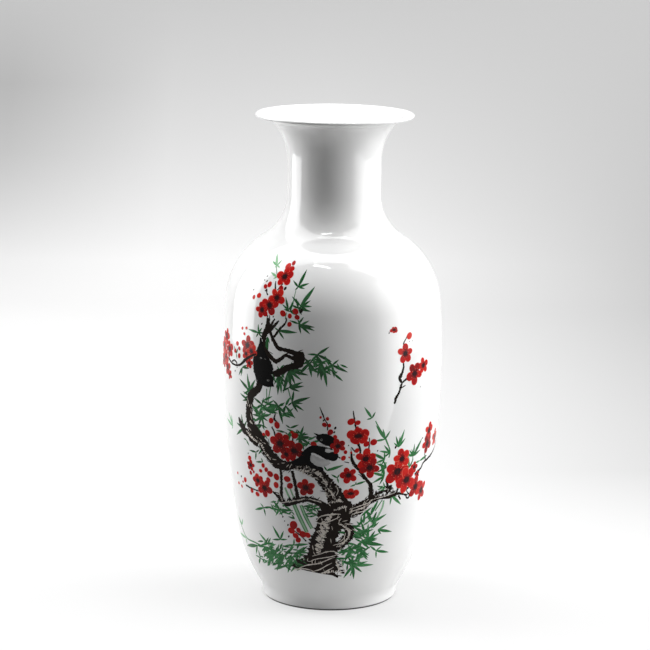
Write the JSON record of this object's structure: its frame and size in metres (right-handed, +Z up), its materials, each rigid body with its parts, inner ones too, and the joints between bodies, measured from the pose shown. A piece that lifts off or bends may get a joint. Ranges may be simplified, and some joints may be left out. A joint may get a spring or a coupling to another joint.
{
  "type": "vase",
  "caption": "Free-standing porcelain vase with a swelling body, straight neck and trumpet mouth, painted with plum blossom, bamboo and magpies, for holding cut stems.",
  "frame": {"origin": "on the ground under the middle of the foot ring", "axes": "+Z up along the vase's axis, painted front towards -Y, +X to the right as seen from the front"},
  "size_m": [0.18, 0.1801, 0.4],
  "materials": {
    "porcelain": "unglazed biscuit, fine and matt where the foot is bare",
    "clear_glaze": "clear glossy glaze over white porcelain",
    "bark_enamel": "black-brown overglaze enamel, glossy",
    "blossom_enamel": "red overglaze enamel, glossy",
    "bamboo_enamel": "green overglaze enamel, glossy",
    "magpie_enamel": "black overglaze enamel, glossy",
    "magpie_white_enamel": "white overglaze enamel, glossy"
  },
  "bodies": {
    "root": {"lower_body": "porcelain", "belly_lute": "porcelain", "upper_body": "porcelain", "neck_lute": "porcelain", "neck_and_mouth": "porcelain", "outer_glaze": "clear_glaze", "inner_glaze": "clear_glaze", "base_glaze": "clear_glaze", "bark_enamel": "bark_enamel", "blossom_enamel": "blossom_enamel", "bamboo_enamel": "bamboo_enamel", "magpie_enamel": "magpie_enamel", "magpie_white_enamel": "magpie_white_enamel"}
  },
  "joints": []
}
